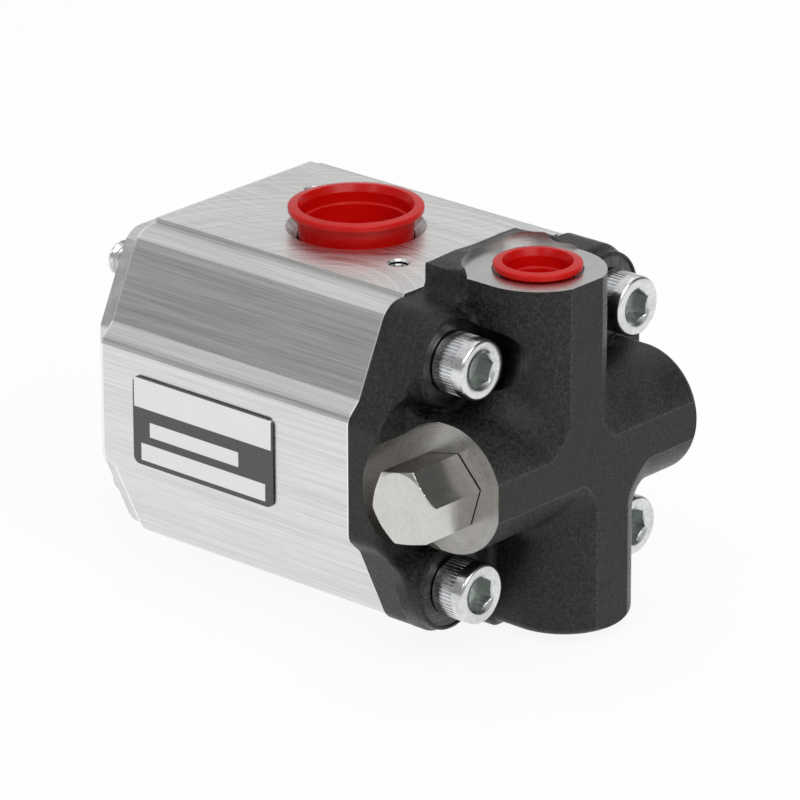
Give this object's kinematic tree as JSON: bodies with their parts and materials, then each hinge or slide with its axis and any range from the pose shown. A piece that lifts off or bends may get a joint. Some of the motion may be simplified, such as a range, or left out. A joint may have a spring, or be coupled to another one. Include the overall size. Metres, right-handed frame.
{
  "type": "hydraulic gear pump",
  "caption": "External gear pump with an extruded body, cast rear valve cover, capped inlet and outlet ports, through bolts, hexagon valve plug and a piloted mounting cover with a drive tang.",
  "frame": {"origin": "middle of the bounding box in X and Y, at the level of the pump's lowest point", "axes": "+Y along the gears' shafts towards the drive end, +Z out of the inlet and outlet ports, +X to the right seen from the rear valve cover"},
  "size_m": [0.1066, 0.1422, 0.102],
  "materials": {
    "extruded_aluminium": "brushed",
    "pale_aluminium": "satin",
    "black_cast_iron": "satin",
    "gear_steel": "ground",
    "zinc_steel": "zinc plated",
    "bearing_bronze": "satin",
    "black_rubber": "matte",
    "red_plastic": "satin",
    "label_film": "matte"
  },
  "bodies": {
    "housing": {"gear_body": "extruded_aluminium", "rear_cover": "black_cast_iron", "front_cover": "pale_aluminium", "bearing_block_rear": "pale_aluminium", "bearing_block_front": "pale_aluminium", "bush_rear_drive": "bearing_bronze", "bush_rear_driven": "bearing_bronze", "bush_front_drive": "bearing_bronze", "bush_front_driven": "bearing_bronze", "body_seal_rear": "black_rubber", "body_seal_front": "black_rubber", "outlet_passage_seal": "black_rubber", "axial_seal_rear": "black_rubber", "axial_seal_front": "black_rubber", "shaft_seal": "black_rubber", "seal_circlip": "gear_steel", "dowel_pin_rear_1": "gear_steel", "dowel_pin_rear_2": "gear_steel", "dowel_pin_front_1": "gear_steel", "dowel_pin_front_2": "gear_steel", "cap_screw_1": "zinc_steel", "cap_screw_2": "zinc_steel", "cap_screw_3": "zinc_steel", "cap_screw_4": "zinc_steel", "valve_plug": "zinc_steel", "plug_seal": "black_rubber", "spool_spring": "gear_steel", "name_plate": "label_film"},
    "drive_shaft": {"drive_gear": "gear_steel"},
    "driven_shaft": {"driven_gear": "gear_steel"},
    "spool": {"valve_spool": "gear_steel"},
    "inlet_port_cap": {"inlet_cap": "red_plastic"},
    "outlet_port_cap": {"outlet_cap": "red_plastic"}
  },
  "joints": [
    {"name": "drive_gear_spin", "type": "hinge", "parent": "housing", "child": "drive_shaft", "pos_m": [0.0204, 0, 0.0493], "axis": [0, 1, 0], "continuous": true},
    {"name": "driven_gear_spin", "type": "hinge", "parent": "housing", "child": "driven_shaft", "pos_m": [-0.0156, 0, 0.0493], "axis": [0, 1, 0], "continuous": true},
    {"name": "valve_spool_slide", "type": "slide", "parent": "housing", "child": "spool", "axis": [-1, 0, 0], "range_m": [0, 0.006], "stiffness_N_per_m": 3000, "springref_m": -0.004, "deforming": ["spool_spring"]},
    {"name": "inlet_cap_pull", "type": "slide", "parent": "housing", "child": "inlet_port_cap", "axis": [0, 0, 1], "range_m": [0, 0.03]},
    {"name": "outlet_cap_pull", "type": "slide", "parent": "housing", "child": "outlet_port_cap", "axis": [0, 0, 1], "range_m": [0, 0.03]}
  ],
  "couplings": [
    {"joint": "driven_gear_spin", "follows": "drive_gear_spin", "ratio": -1}
  ]
}
